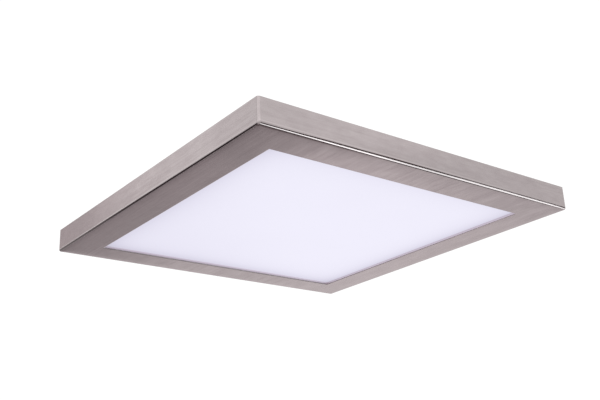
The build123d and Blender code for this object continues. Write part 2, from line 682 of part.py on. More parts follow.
# ---------------------------------------------------------------- snap mounting, lamp side
catch_in = 99.6
catch_t = 1.0
catch_top = -4.6
with BuildPart() as catch_brackets:
    for s in (-1, 1):
        with BuildSketch(Plane.XZ):
            with Locations((s * (catch_in + 6.7), plate_top)):
                Rectangle(13.4, catch_t, align=(Align.CENTER, Align.MIN))
            with Locations((s * (catch_in + catch_t / 2), plate_top)):
                Rectangle(catch_t, catch_top - plate_top, align=(Align.CENTER, Align.MIN))
        extrude(amount=12.0, both=True)
        # window that the spring's nose stands in
        with Locations((s * (catch_in + catch_t / 2), 0, plate_top + catch_t)):
            Box(catch_t, 20.0, -5.7 - plate_top - catch_t, align=MIN3, mode=Mode.SUBTRACT)
    with Locations(*[(x, y, plate_top) for x, y in catch_rivet_xy]):
        Cylinder(1.3, catch_t, align=MIN3, mode=Mode.SUBTRACT)
catch_brackets.part.label = "catch_brackets"
export_step(catch_brackets.part, "parts/catch_brackets.step")

catch_pin = rivet(2.4, 0.9, 1.25, catch_t + plate_t, 0, 0)
with BuildPart() as catch_rivets:
    with Locations(*[(x, y, plate_top + catch_t) for x, y in catch_rivet_xy]):
        add(catch_pin)
catch_rivets.part.label = "catch_rivets"
export_step(catch_rivets.part, "parts/catch_rivets.step")

# ---------------------------------------------------------------- ceiling side
flange_low = -5.6
slot_mid = (box_screw_near + box_screw_far) / 4
slot_l = (box_screw_far - box_screw_near) / 2 + slot_w
clip_rivet_z = -3.3
ground_xy = (-16.0, 0.0)

with BuildPart() as mounting_bracket:
    with BuildSketch(Plane.XY.offset(-bracket_t)):
        Rectangle(bracket_l, bracket_w)
    extrude(amount=bracket_t)
    with Locations(*[(s * (bracket_l / 2 - bracket_t / 2), 0, flange_low) for s in (-1, 1)]):
        Box(bracket_t, 26.0, -flange_low, align=MIN3)
    with Locations(*[(0, s * (bracket_w / 2 - bracket_t / 2), -4.5) for s in (-1, 1)]):
        Box(172.0, bracket_t, 4.5, align=MIN3)
    fillet(mounting_bracket.edges().filter_by(Axis.Y).filter_by_position(Axis.Z, -0.01, 0.01), radius=1.2)
    fillet(mounting_bracket.edges().filter_by(Axis.X).filter_by_position(Axis.Z, -0.01, 0.01), radius=1.2)
    with BuildSketch(Plane.XY.offset(-bracket_t)):
        with Locations((-slot_mid, 0), (slot_mid, 0)):
            SlotOverall(slot_l, slot_w)
        with Locations((-anchor_span / 2, 0), (anchor_span / 2, 0)):
            Circle(anchor_d / 2)
        with Locations(ground_xy):
            Circle(1.6)
    extrude(amount=bracket_t, mode=Mode.SUBTRACT)
    with Locations(*[(s * (bracket_l / 2 - bracket_t / 2), y, clip_rivet_z) for s in (-1, 1) for y in (-5.0, 5.0)]):
        Cylinder(1.25, bracket_t, rotation=(0, 90, 0), mode=Mode.SUBTRACT)
mounting_bracket.part.label = "mounting_bracket"
export_step(mounting_bracket.part, "parts/mounting_bracket.step")

clip_t = 0.5
with BuildPart() as spring_clips:
    for s in (-1, 1):
        face_x = bracket_l / 2 + clip_t / 2
        with BuildSketch(Plane.XZ):
            with BuildLine():
                FilletPolyline(
                    (s * face_x, -1.4),
                    (s * face_x, -5.4),
                    (s * 100.9, -7.3),
                    (s * 98.4, -9.4),
                    radius=[0.8, 0.6],
                )
            trace(line_width=clip_t)
        extrude(amount=9.0, both=True)
    with Locations(*[(s * (bracket_l / 2 + clip_t / 2), y, clip_rivet_z) for s in (-1, 1) for y in (-5.0, 5.0)]):
        Cylinder(1.25, 2 * clip_t, rotation=(0, 90, 0), mode=Mode.SUBTRACT)
spring_clips.part.label = "spring_clips"
export_step(spring_clips.part, "parts/spring_clips.step")

clip_pin = rivet(1.9, 0.7, 1.2, clip_t + bracket_t, 1.8, 0.6)
with BuildPart() as clip_rivets:
    with Locations(*[Location((bracket_l / 2 + clip_t, y, clip_rivet_z), (0, 90, 0)) for y in (-5.0, 5.0)]):
        add(clip_pin)
    with Locations(*[Location((-bracket_l / 2 - clip_t, y, clip_rivet_z), (0, -90, 0)) for y in (-5.0, 5.0)]):
        add(clip_pin)
clip_rivets.part.label = "clip_rivets"
export_step(clip_rivets.part, "parts/clip_rivets.step")

ground_pin = pan_screw(3.4, 2.2, 1.55, bracket_t - 0.2)
with BuildPart() as ground_screw:
    with Locations(Location((ground_xy[0], ground_xy[1], -bracket_t), (180, 0, 0))):
        add(ground_pin)
ground_screw.part.label = "ground_screw"
export_step(ground_screw.part, "parts/ground_screw.step")
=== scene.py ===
import json
import math

import bpy
from mathutils import Matrix, Vector

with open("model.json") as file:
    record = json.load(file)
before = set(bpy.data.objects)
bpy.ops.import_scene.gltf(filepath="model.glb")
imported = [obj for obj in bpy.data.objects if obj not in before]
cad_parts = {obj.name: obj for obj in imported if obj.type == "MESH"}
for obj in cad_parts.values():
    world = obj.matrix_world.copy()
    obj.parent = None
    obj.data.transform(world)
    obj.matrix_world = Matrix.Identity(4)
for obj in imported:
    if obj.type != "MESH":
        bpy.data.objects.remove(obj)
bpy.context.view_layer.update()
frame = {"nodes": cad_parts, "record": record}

N = frame["nodes"]
scene = bpy.context.scene
scene.view_settings.view_transform = "Standard"
scene.view_settings.look = "None"
scene.view_settings.exposure = 0.0
scene.view_settings.gamma = 1.0

SIDE = 0.300  # outer side of the frame, metres
WINDOW = 0.1215  # half of the window
FACE = -0.0192  # height of the bezel's face

# ------------------------------------------------------------------ camera
az, el, roll = map(math.radians, (-38.017, -20.553, -2.499))
back = Vector((math.sin(az) * math.cos(el), -math.cos(az) * math.cos(el), math.sin(el)))
fwd = -back
right = fwd.cross(Vector((0, 0, 1))).normalized()
up = right.cross(fwd)
r2 = math.cos(roll) * right + math.sin(roll) * up
u2 = -math.sin(roll) * right + math.cos(roll) * up
eye = Vector((-1.4576, -1.8510, -0.8543)) * SIDE
cam_data = bpy.data.cameras.new("camera")
cam = bpy.data.objects.new("camera", cam_data)
scene.collection.objects.link(cam)
cam_data.sensor_width = 36.0
cam_data.lens = 900.3 * 36.0 / 600.0
cam_data.clip_start = 0.01
cam_data.clip_end = 100.0
cam.matrix_world = Matrix(
    (
        (r2.x, u2.x, back.x, eye.x),
        (r2.y, u2.y, back.y, eye.y),
        (r2.z, u2.z, back.z, eye.z),
        (0, 0, 0, 1),
    )
)
scene.camera = cam


# ------------------------------------------------------------------ node helpers
class Tree:
    """A few short words for wiring shader nodes."""

    def __init__(self, name):
        self.mat = bpy.data.materials.new(name)
        self.mat.use_nodes = True
        self.t = self.mat.node_tree
        self.t.nodes.clear()
        self.out = self.t.nodes.new("ShaderNodeOutputMaterial")
        self.bsdf = self.t.nodes.new("ShaderNodeBsdfPrincipled")
        self.t.links.new(self.bsdf.outputs[0], self.out.inputs[0])
        self._coord = None

    def new(self, kind, **props):
        n = self.t.nodes.new(kind)
        for k, v in props.items():
            setattr(n, k, v)
        return n

    def link(self, a, b):
        self.t.links.new(a, b)

    def put(self, socket, value):
        if isinstance(value, bpy.types.NodeSocket):
            self.link(value, socket)
        else:
            socket.default_value = value

    def set(self, **values):
        names = {
            "color": "Base Color", "metal": "Metallic", "rough": "Roughness", "ior": "IOR",
            "spec": "Specular IOR Level", "aniso": "Anisotropic", "tangent": "Tangent",
            "coat": "Coat Weight", "coat_rough": "Coat Roughness", "normal": "Normal",
            "glow": "Emission Color", "glow_strength": "Emission Strength",
            "trans": "Transmission Weight", "sss": "Subsurface Weight", "sheen": "Sheen Weight",
        }
        for k, v in values.items():
            self.put(self.bsdf.inputs[names[k]], v)

    def xyz(self):
        if self._coord is None:
            tc = self.new("ShaderNodeTexCoord")
            self._coord = tc.outputs["Object"]
        return self._coord

    def split(self, vector):
        s = self.new("ShaderNodeSeparateXYZ")
        self.link(vector, s.inputs[0])
        return s.outputs[0], s.outputs[1], s.outputs[2]

    def join(self, x, y, z):
        c = self.new("ShaderNodeCombineXYZ")
        for i, v in enumerate((x, y, z)):
            self.put(c.inputs[i], v)
        return c.outputs[0]

    def math(self, op, a, b=0.0, c=None, clamp=False):
        m = self.new("ShaderNodeMath", operation=op, use_clamp=clamp)
        self.put(m.inputs[0], a)
        self.put(m.inputs[1], b)
        if c is not None:
            self.put(m.inputs[2], c)
        return m.outputs[0]

    def lerp(self, f, a, b):
        m = self.new("ShaderNodeMix", data_type="FLOAT")
        self.put(m.inputs[0], f)
        self.put(m.inputs[2], a)
        self.put(m.inputs[3], b)
        return m.outputs[0]

    def colour(self, f, a, b, blend="MIX"):
        m = self.new("ShaderNodeMix", data_type="RGBA", blend_type=blend)
        self.put(m.inputs[0], f)
        self.put(m.inputs[6], a if isinstance(a, bpy.types.NodeSocket) else (*a, 1.0))
        self.put(m.inputs[7], b if isinstance(b, bpy.types.NodeSocket) else (*b, 1.0))
        return m.outputs[2]

    def range(self, value, lo, hi, to_lo=0.0, to_hi=1.0, smooth=False):
        m = self.new("ShaderNodeMapRange")
        m.interpolation_type = "SMOOTHSTEP" if smooth else "LINEAR"
        self.put(m.inputs[0], value)
        for i, v in enumerate((lo, hi, to_lo, to_hi)):
            self.put(m.inputs[i + 1], v)
        return m.outputs[0]

    def noise(self, vector, scale=1.0, detail=2.0, rough=0.5, distortion=0.0):
        n = self.new("ShaderNodeTexNoise")
        self.put(n.inputs["Vector"], vector)
        n.inputs["Scale"].default_value = scale
        n.inputs["Detail"].default_value = detail
        n.inputs["Roughness"].default_value = rough
        n.inputs["Distortion"].default_value = distortion
        return n.outputs[0]

    def cells(self, vector, scale, feature="F1", out=0, randomness=1.0):
        v = self.new("ShaderNodeTexVoronoi", feature=feature)
        self.put(v.inputs["Vector"], vector)
        v.inputs["Scale"].default_value = scale
        v.inputs["Randomness"].default_value = randomness
        return v.outputs[out]

    def scaled(self, vector, x, y, z):
        m = self.new("ShaderNodeVectorMath", operation="MULTIPLY")
        self.put(m.inputs[0], vector)
        m.inputs[1].default_value = (x, y, z)
        return m.outputs[0]

    def bump(self, height, strength, distance, normal=None):
        b = self.new("ShaderNodeBump")
        b.inputs["Strength"].default_value = strength
        b.inputs["Distance"].default_value = distance
        self.put(b.inputs["Height"], height)
        if normal is not None:
            self.put(b.inputs["Normal"], normal)
        return b.outputs[0]

    def normal(self):
        g = self.new("ShaderNodeNewGeometry")
        return g.outputs["True Normal"]

    def smooth_normal(self):
        g = self.new("ShaderNodeNewGeometry")
        return g.outputs["Normal"]


# ------------------------------------------------------------------ materials
def brushed_nickel():
    """One sheet brushed along Y on the bezel and along each wall, folds rubbed smoother."""
    m = Tree("brushed_nickel")
    x, y, z = m.split(m.xyz())
    nx, ny, nz = (m.math("ABSOLUTE", v) for v in m.split(m.smooth_normal()))
    flat = m.math("GREATER_THAN", nz, 0.7071)
    front = m.math("GREATER_THAN", ny, 0.7071)
    fold = m.range(m.math("MAXIMUM", m.math("MAXIMUM", nx, ny), nz), 0.93, 0.995, 1.0, 0.0)
    across = m.lerp(flat, z, x)
    along = m.lerp(front, y, x)
    lane = m.lerp(front, 0.0, 7.3)

    def lines(pitch, run, shift, detail, rough):
        v = m.join(m.math("MULTIPLY", across, pitch), m.math("MULTIPLY", along, run), m.math("ADD", lane, shift))
        return m.noise(v, 1.0, detail, rough)

    fine = lines(2300.0, 26.0, 0.0, 3.0, 0.6)
    mid = lines(620.0, 10.0, 2.0, 2.0, 0.5)
    dash = lines(300.0, 100.0, 9.0, 1.0, 0.5)
    band = lines(95.0, 42.0, 5.0, 1.0, 0.5)
    cloud = m.noise(m.xyz(), 22.0, 3.0, 0.5)

    def part_of(value, on_wall, on_bezel):
        return m.math("MULTIPLY", m.math("SUBTRACT", value, 0.5), m.lerp(flat, on_wall, on_bezel))

    lane_left = m.range(x, -0.117, -0.124)  # the side where the brush bit deepest
    lane_front = m.range(y, -0.117, -0.124)  # patchier
    lane_right = m.math("MULTIPLY", m.range(x, 0.117, 0.124), m.range(y, -0.124, -0.100))  # finer
    mid_on = m.lerp(lane_left, m.lerp(lane_right, m.lerp(lane_front, 0.75, 0.58), 0.56), 2.1)
    band_on = m.lerp(lane_left, m.lerp(lane_right, m.lerp(lane_front, 1.15, 1.60), 0.80), 0.80)
    tone = m.math("ADD", part_of(fine, 0.40, m.lerp(lane_right, 0.55, 0.42)), part_of(mid, 0.50, mid_on))
    tone = m.math("ADD", tone, part_of(band, 0.40, band_on))
    tone = m.math("ADD", tone, m.math("ADD", part_of(dash, 0.95, m.lerp(lane_right, 0.62, 0.45)), 0.5), clamp=True)
    base = m.colour(tone, (0.53, 0.463, 0.470), (0.67, 0.600, 0.604))
    base = m.colour(m.range(cloud, 0.35, 0.65, 0.0, 0.30), base, (0.60, 0.530, 0.536))
    # painted light and shade on the bezel: lighter towards the window in front, where the lit panel's glow spreads, and
    # lighter towards the fold at the left
    painted_light_shade_gain = m.math("ADD", m.range(x, -0.115, -0.090, 0.0, 0.17), m.range(x, -0.060, -0.020, 0.0, -0.07))
    painted_light_shade_gain = m.math("MULTIPLY", m.math("ADD", painted_light_shade_gain, m.range(x, 0.060, 0.075, 0.0, -0.08)), m.range(y, -0.143, -0.127))
    painted_light_shade_gain = m.math("ADD", painted_light_shade_gain, m.math("ADD", m.range(x, -0.100, -0.080, 0.0, 0.03), m.range(x, -0.050, 0.010, 0.0, -0.085)))
    painted_light_shade_gain = m.math("MULTIPLY", m.math("ADD", painted_light_shade_gain, m.range(x, 0.090, 0.120, 0.0, -0.015)), m.range(y, -0.095, -0.125))
    # painted light and shade along the left, rear and right strips of the bezel: lighter or darker in stretches where
    # their reflection runs brighter or dimmer
    side = m.math("MULTIPLY", m.range(x, -0.144, -0.128, 0.075, -0.035), m.range(y, -0.120, -0.090))
    run = m.math("ADD", m.range(y, -0.1215, -0.110, 0.0, -0.05), m.range(y, -0.105, -0.080, 0.0, 0.09))
    side = m.math("ADD", side, m.math("ADD", run, m.range(y, -0.020, 0.010, 0.0, -0.062)))
    side = m.math("MULTIPLY", side, m.math("MULTIPLY", m.range(y, 0.122, 0.105), m.math("LESS_THAN", x, -0.118)))
    rear = m.math("ADD", m.range(x, -0.050, -0.035, -0.032, 0.012), m.range(x, -0.015, 0.005, 0.0, -0.055))
    rear = m.math("MULTIPLY", m.math("ADD", rear, m.range(x, 0.045, 0.060, 0.0, 0.038)), m.range(y, 0.100, 0.124))
    right = m.math("MULTIPLY", m.range(x, 0.112, 0.124, 0.0, 0.030), m.math("MULTIPLY", m.range(y, -0.128, -0.100), m.range(y, 0.128, 0.105)))
    painted_light_shade_gain = m.math("ADD", m.math("ADD", painted_light_shade_gain, side), m.math("ADD", rear, right))
    painted_light_shade_gain = m.math("ADD", painted_light_shade_gain, 1.0)
    base = m.colour(flat, base, m.join(painted_light_shade_gain, painted_light_shade_gain, painted_light_shade_gain), blend="MULTIPLY")
    # painted shade and light on the walls: front and back darker towards the fold and lighter higher up in the middle,
    # the others lighter higher up in the middle and darker towards one end
    mid_x = m.math("MULTIPLY", m.range(x, -0.090, -0.050), m.range(x, 0.055, 0.010))
    wall_y = m.math("MULTIPLY", mid_x, m.range(z, -0.0155, -0.0040, -0.068, 0.052))
    mid_y = m.math("MULTIPLY", m.range(y, -0.040, 0.010), m.range(y, 0.085, 0.060))
    wall_x = m.math("ADD", m.math("MULTIPLY", mid_y, m.range(z, -0.0120, -0.0060, 0.0, 0.070)), m.range(y, 0.070, 0.095, 0.0, -0.055))
    painted_light_shade_gain = m.math("ADD", m.lerp(front, wall_x, wall_y), 1.0)
    base = m.colour(m.math("SUBTRACT", 1.0, flat), base, m.join(painted_light_shade_gain, painted_light_shade_gain, painted_light_shade_gain), blend="MULTIPLY")
    s = m.math("ADD", m.math("MULTIPLY", fine, 0.40), m.math("ADD", m.math("MULTIPLY", mid, 0.35), m.math("MULTIPLY", band, 0.25)))
    rough = m.math("ADD", m.range(s, 0.30, 0.70, 0.25, 0.16), m.range(cloud, 0.3, 0.7, -0.015, 0.015))
    rough = m.lerp(fold, rough, 0.17)
    lip = m.math("LESS_THAN", m.math("MAXIMUM", m.math("ABSOLUTE", x), m.math("ABSOLUTE", y)), WINDOW + 0.0007)
    rough = m.lerp(lip, rough, 0.12)
    rough = m.lerp(m.math("MULTIPLY", fold, lip), rough, 0.34)
    on_x = m.math("GREATER_THAN", m.math("ABSOLUTE", x), m.math("ABSOLUTE", y))
    # painted light and shade on the window's lip: lighter where the lit panel's light falls on it, the sides facing
    # along X lighter than those facing along Y, and a painted shadow line darker at the foot of the lip and along its
    # rim on the Y sides
    lip_y = m.colour(m.range(m.math("SUBTRACT", z, FACE), 0.0006, 0.0014), (0.44, 0.395, 0.405), (0.84, 0.77, 0.78))
    lip_painted_light = m.colour(on_x, lip_y, (0.80, 0.73, 0.74))
    rim_painted_light_shade = m.colour(on_x, (0.38, 0.336, 0.345), (0.85, 0.765, 0.775))
    base = m.colour(m.math("MULTIPLY", lip, 0.8), base, lip_painted_light)
    base = m.colour(m.math("MULTIPLY", m.math("MULTIPLY", fold, lip), 0.9), base, rim_painted_light_shade)
    # a painted highlight: a lighter line where each wall starts to fold, fading along the wall
    up_z = m.math("SUBTRACT", z, FACE)
    rim_gap = m.math("SUBTRACT", SIDE / 2, m.math("MAXIMUM", m.math("ABSOLUTE", x), m.math("ABSOLUTE", y)))
    glint_z = m.math("SUBTRACT", up_z, m.lerp(front, 0.0, 0.0009))
    glint = m.math("MULTIPLY", m.range(glint_z, 0.0013, 0.0018), m.range(glint_z, 0.0027, 0.0021))
    glint = m.math("MULTIPLY", glint, m.range(along, 0.04, 0.12, 0.85, 0.15))
    glint = m.math("MULTIPLY", glint, m.math("SUBTRACT", 1.0, m.math("MAXIMUM", flat, lip)))
    base = m.colour(glint, base, (0.70, 0.625, 0.630))
    # painted light and shade on the front fold: its colour darkened and lightened along its length so its highlight
    # runs dimmer or brighter
    rub = m.math("ADD", m.range(x, -0.145, -0.100, 0.84, 1.14), m.range(x, -0.055, -0.008, 0.0, -0.33))
    rub = m.math("ADD", rub, m.math("ADD", m.range(x, 0.012, 0.027, 0.0, 0.09), m.range(x, 0.09, 0.108, 0.0, 0.09)))
    rub = m.math("ADD", rub, m.range(x, 0.12, 0.14, 0.0, 0.20))
    at_fold = m.math("MULTIPLY", m.range(y, -0.1478, -0.1486), m.range(up_z, 0.0024, 0.0016))
    base = m.colour(at_fold, base, m.join(rub, rub, rub), blend="MULTIPLY")
    # and painted shade: darker in the tuck above its middle and in the turn below its near end
    shade = m.math("MULTIPLY", m.range(up_z, 0.0012, 0.0016), m.range(up_z, 0.0024, 0.0020))
    shade = m.math("MULTIPLY", shade, m.math("MULTIPLY", m.range(x, -0.065, -0.045), m.range(x, 0.012, -0.02)))
    turn_in = m.math("MULTIPLY", m.range(rim_gap, 0.0006, 0.0010), m.range(rim_gap, 0.0030, 0.0021))
    turn_in = m.math("MULTIPLY", turn_in, m.math("MULTIPLY", m.range(x, -0.03, -0.10, 0.0, 0.75), m.math("LESS_THAN", z, FACE + 0.0011)))
    shade = m.math("MULTIPLY", m.math("MAXIMUM", shade, turn_in), m.math("LESS_THAN", y, -0.146))
    base = m.colour(shade, base, (0.45, 0.385, 0.39), blend="MULTIPLY")
    tangent = m.join(flat, 0.0, m.math("SUBTRACT", 1.0, flat))
    smooth = m.math("SUBTRACT", 1.0, m.math("MAXIMUM", fold, lip))
    # the bezel eases over towards the folds, as a drawn sheet does
    ease = m.math("MULTIPLY", m.math("EXPONENT", m.math("DIVIDE", rim_gap, -0.0030)), flat)
    n = m.bump(m.math("MULTIPLY", ease, -0.00022), 1.0, 1.0)
    # and the wall draws in a little just above the fold
    wall = m.math("MULTIPLY", m.math("SUBTRACT", 1.0, flat), m.math("SUBTRACT", 1.0, lip))
    tuck = m.range(m.math("SUBTRACT", z, FACE), 0.0006, 0.0022, smooth=True)
    tuck = m.math("MULTIPLY", tuck, m.range(along, -0.14, m.lerp(front, 0.07, -0.08), 0.1, 1.0, smooth=True))
    deep = m.math("ADD", m.range(x, 0.015, 0.035, 1.0, 1.08), m.range(x, 0.085, 0.115, 0.0, 0.15))
    tuck = m.math("MULTIPLY", tuck, m.lerp(front, 1.0, deep))
    n = m.bump(m.math("MULTIPLY", m.math("MULTIPLY", tuck, wall), 0.00030), 1.0, 1.0, n)
    n = m.bump(m.math("MULTIPLY", fine, smooth), 0.05, 0.00002, n)
    n = m.bump(m.math("MULTIPLY", mid, smooth), 0.04, 0.00004, n)
    m.set(color=base, metal=1.0, rough=rough, aniso=0.45, tangent=tangent, normal=n)
    return m.mat


def opal_lit():
    """Opal acrylic lit from behind: even in the middle, falling off to the edges and corners."""
    m = Tree("opal_acrylic")
    x, y, z = m.split(m.xyz())
    dx = m.math("SUBTRACT", WINDOW, m.math("ABSOLUTE", x))
    dy = m.math("SUBTRACT", WINDOW, m.math("ABSOLUTE", y))

    def edge(d, depth):
        fall = m.math("EXPONENT", m.math("DIVIDE", d, -0.011))
        return m.math("SUBTRACT", 1.0, m.math("MULTIPLY", fall, depth))

    e = m.math("MULTIPLY", edge(dx, 0.19), edge(dy, m.range(y, -0.06, 0.06, 0.10, 0.19)))
    lean = m.range(m.math("SUBTRACT", y, x), 0.0, 0.18, 1.0, 0.955, smooth=True)
    e = m.math("MULTIPLY", e, lean)
    speck = m.noise(m.xyz(), 900.0, 2.0, 0.6)
    cloud = m.noise(m.xyz(), 14.0, 2.0, 0.5)
    e = m.math("MULTIPLY", e, m.range(speck, 0.3, 0.7, 0.992, 1.008))
    e = m.math("MULTIPLY", e, m.range(cloud, 0.3, 0.7, 0.995, 1.005))
    tint = m.colour(m.range(e, 0.78, 0.99), (0.855, 0.825, 0.985), (0.855, 0.838, 0.958))
    m.set(
        color=(0.03, 0.03, 0.032, 1.0), rough=0.5, spec=0.08, glow=tint,
        glow_strength=m.math("MULTIPLY", e, 0.975), normal=m.bump(speck, 0.08, 0.00004),
    )
    return m.mat


def powder_coat():
    m = Tree("white_powder_coat")
    peel = m.noise(m.xyz(), 620.0, 2.0, 0.5)
    soft = m.noise(m.xyz(), 9.0, 3.0, 0.55)
    grime = m.noise(m.xyz(), 46.0, 5.0, 0.65)
    c = m.colour(m.range(soft, 0.3, 0.7), (0.62, 0.622, 0.615), (0.70, 0.702, 0.698))
    c = m.colour(m.range(grime, 0.55, 0.80, 0.0, 0.25), c, (0.52, 0.515, 0.495))
    m.set(
        color=c, rough=m.range(peel, 0.3, 0.7, 0.36, 0.50), spec=0.5,
        normal=m.bump(peel, 0.22, 0.00006),
    )
    return m.mat


def zinc():
    """Zinc-plated sheet with a faint spangle, draw lines and a bluish-yellow passivation."""
    m = Tree("zinc_steel")
    p = m.xyz()
    cell = m.cells(p, 210.0, out=1)
    r, g, b = m.split(cell)
    draw = m.noise(m.scaled(p, 8.0, 900.0, 900.0), 1.0, 3.0, 0.6)
    tint = m.noise(p, 20.0, 3.0, 0.6)
    c = m.colour(m.range(tint, 0.35, 0.65), (0.55, 0.575, 0.60), (0.62, 0.60, 0.545))
    c = m.colour(m.math("MULTIPLY", r, 0.22), c, (0.72, 0.73, 0.74))
    c = m.colour(m.range(draw, 0.4, 0.8, 0.0, 0.25), c, (0.42, 0.43, 0.44))
    m.set(
        color=c, metal=1.0,
        rough=m.math("ADD", m.range(r, 0.0, 1.0, 0.30, 0.42), m.range(draw, 0.3, 0.7, -0.04, 0.06)),
        normal=m.bump(draw, 0.12, 0.00003),
    )
    return m.mat


def metal(name, dark, light, rough, grain=(500.0, 500.0, 500.0), bump=0.1, wear=None):
    """Small metal parts: plating with streaks along one axis and slight wear."""
    m = Tree(name)
    p = m.xyz()
    s = m.noise(m.scaled(p, *grain), 1.0, 4.0, 0.6)
    blot = m.noise(p, 130.0, 3.0, 0.6)
    c = m.colour(m.range(s, 0.32, 0.68), dark, light)
    if wear:
        c = m.colour(m.range(blot, 0.52, 0.75, 0.0, 0.5), c, wear)
    m.set(
        color=c, metal=1.0,
        rough=m.math("ADD", m.range(s, 0.3, 0.7, rough - 0.05, rough + 0.07), m.range(blot, 0.3, 0.7, -0.03, 0.03)),
        normal=m.bump(s, bump, 0.00003),
    )
    return m.mat


def plastic(name, dark, light, rough, texture=1500.0, bump=0.15, spec=0.5):
    """Moulded plastic: spark-eroded grain, slow tone changes, a few shiny rubs."""
    m = Tree(name)
    p = m.xyz()
    grain = m.noise(p, texture, 2.0, 0.6)
    slow = m.noise(p, 26.0, 3.0, 0.5)
    rub = m.noise(p, 90.0, 4.0, 0.65)
    c = m.colour(m.range(slow, 0.3, 0.7), dark, light)
    m.set(
        color=c,
        rough=m.math("ADD", m.range(grain, 0.3, 0.7, rough - 0.05, rough + 0.06), m.range(rub, 0.5, 0.8, 0.0, -0.08)),
        spec=spec, normal=m.bump(grain, bump, 0.00004),
    )
    return m.mat


def earth_stripe():
    """Green insulation with yellow stripes along the wire."""
    m = Tree("wire_green_yellow")
    nx, ny, nz = m.split(m.normal())
    wave = m.noise(m.xyz(), 160.0, 2.0, 0.5)
    edge = m.math("ADD", m.math("ABSOLUTE", nz), m.range(wave, 0.3, 0.7, -0.06, 0.06))
    c = m.colour(m.range(edge, 0.62, 0.70), (0.035, 0.20, 0.045), (0.74, 0.60, 0.045))
    m.set(color=c, rough=m.range(wave, 0.3, 0.7, 0.30, 0.42), normal=m.bump(wave, 0.10, 0.00004))
    return m.mat


def circuit_board():
    """Green solder resist over a faint grid of tracks."""
    m = Tree("circuit_board")
    p = m.xyz()
    wires = m.cells(m.scaled(p, 1.0, 2.2, 1.0), 260.0, feature="DISTANCE_TO_EDGE")
    slow = m.noise(p, 40.0, 3.0, 0.5)
    c = m.colour(m.range(slow, 0.3, 0.7), (0.012, 0.085, 0.030), (0.020, 0.115, 0.042))
    c = m.colour(m.range(wires, 0.02, 0.07, 0.8, 0.0), c, (0.045, 0.22, 0.07))
    m.set(color=c, rough=m.range(slow, 0.3, 0.7, 0.28, 0.36), normal=m.bump(wires, 0.1, 0.00003))
    return m.mat


def led_package():
    """White moulded cup with a yellow phosphor face."""
    m = Tree("led_package")
    p = m.xyz()
    x, y, z = m.split(p)
    nx, ny, nz = m.split(m.normal())
    ring = m.noise(p, 700.0, 2.0, 0.5)
    face = m.math("GREATER_THAN", m.math("ABSOLUTE", nx), 0.9)
    c = m.colour(face, (0.80, 0.80, 0.78), (0.80, 0.56, 0.08))
    c = m.colour(m.range(ring, 0.4, 0.8, 0.0, 0.25), c, (0.86, 0.74, 0.30))
    m.set(color=c, rough=m.range(ring, 0.3, 0.7, 0.25, 0.40), normal=m.bump(ring, 0.1, 0.00003))
    return m.mat


def clear_acrylic():
    """Light guide: clear sheet with a fine dot print that turns the light out."""
    m = Tree("clear_acrylic")
    p = m.xyz()
    dots = m.cells(m.scaled(p, 1.0, 1.0, 0.0), 420.0, randomness=0.2)
    c = m.colour(m.range(dots, 0.25, 0.45), (0.90, 0.92, 0.93), (0.80, 0.86, 0.88))
    m.set(color=c, rough=m.range(dots, 0.2, 0.5, 0.30, 0.08), trans=0.6, ior=1.49)
    return m.mat


def foam(name, dark, light):
    """Closed-cell foam: tiny open cells on the cut faces."""
    m = Tree(name)
    p = m.xyz()
    holes = m.cells(p, 900.0)
    slow = m.noise(p, 60.0, 3.0, 0.5)
    c = m.colour(m.range(holes, 0.1, 0.5), dark, light)
    m.set(color=c, rough=m.range(slow, 0.3, 0.7, 0.82, 0.95), spec=0.2, normal=m.bump(holes, 0.5, 0.0002))
    return m.mat


